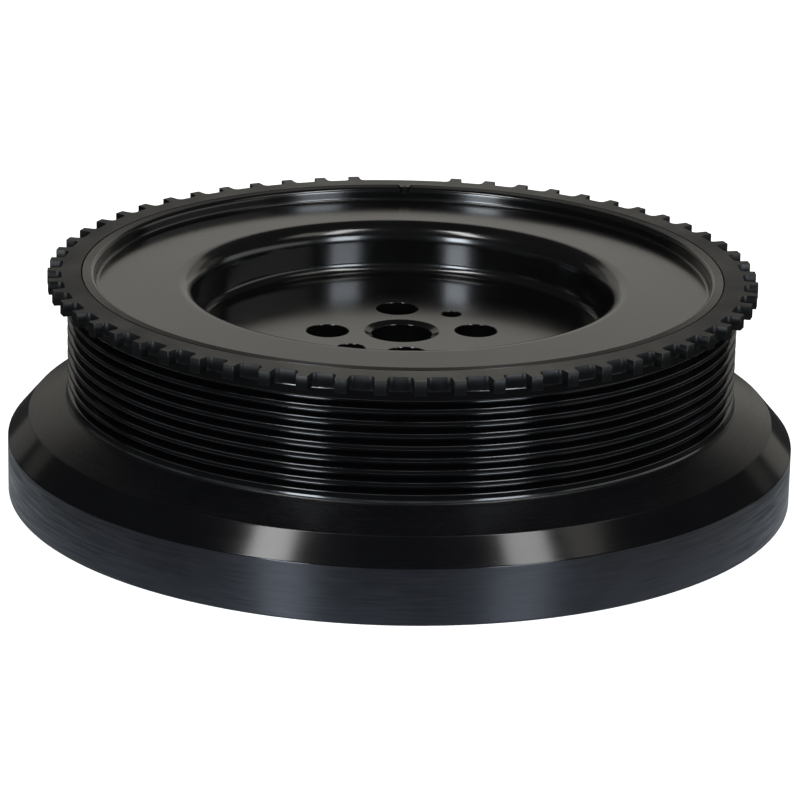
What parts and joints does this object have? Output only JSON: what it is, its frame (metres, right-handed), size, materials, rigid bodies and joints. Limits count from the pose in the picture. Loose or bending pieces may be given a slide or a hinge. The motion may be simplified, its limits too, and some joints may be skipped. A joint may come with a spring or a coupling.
{
  "type": "viscous crankshaft damper pulley",
  "caption": "Black viscous crankshaft damper with a grooved belt pulley, a dished bolt-on hub, a toothed tone ring and a sealed inertia ring inside.",
  "frame": {"origin": "centre of the bottom face, which is the back of the damper", "axes": "+Z along the shaft axis, towards the tone ring; +Y through the gap in the teeth"},
  "size_m": [0.234, 0.234, 0.0669],
  "materials": {
    "housing_black": "satin black coat over machined steel",
    "tone_ring_black": "satin black coat over stamped steel",
    "cover_black": "satin black coat over turned steel",
    "weld_steel": "as-welded bead",
    "plug_steel": "zinc-plated",
    "washer_copper": "soft copper",
    "inertia_steel": "turned, oiled",
    "bush_bronze": "bearing bronze",
    "pad_plastic": "filled bearing plastic"
  },
  "bodies": {
    "housing": {"damper_housing": "housing_black", "tone_ring": "tone_ring_black", "chamber_cover": "cover_black", "outer_weld": "weld_steel", "inner_weld": "weld_steel", "filler_plug_1": "plug_steel", "filler_plug_2": "plug_steel", "plug_washer_1": "washer_copper", "plug_washer_2": "washer_copper"},
    "inertia": {"inertia_ring": "inertia_steel", "lower_bush": "bush_bronze", "upper_bush": "bush_bronze", "thrust_pad_lower_1": "pad_plastic", "thrust_pad_lower_2": "pad_plastic", "thrust_pad_lower_3": "pad_plastic", "thrust_pad_lower_4": "pad_plastic", "thrust_pad_upper_1": "pad_plastic", "thrust_pad_upper_2": "pad_plastic", "thrust_pad_upper_3": "pad_plastic", "thrust_pad_upper_4": "pad_plastic"}
  },
  "joints": [
    {"name": "inertia_spin", "type": "hinge", "parent": "housing", "child": "inertia", "pos_m": [0, 0, 0.0328], "axis": [0, 0, 1], "continuous": true}
  ]
}
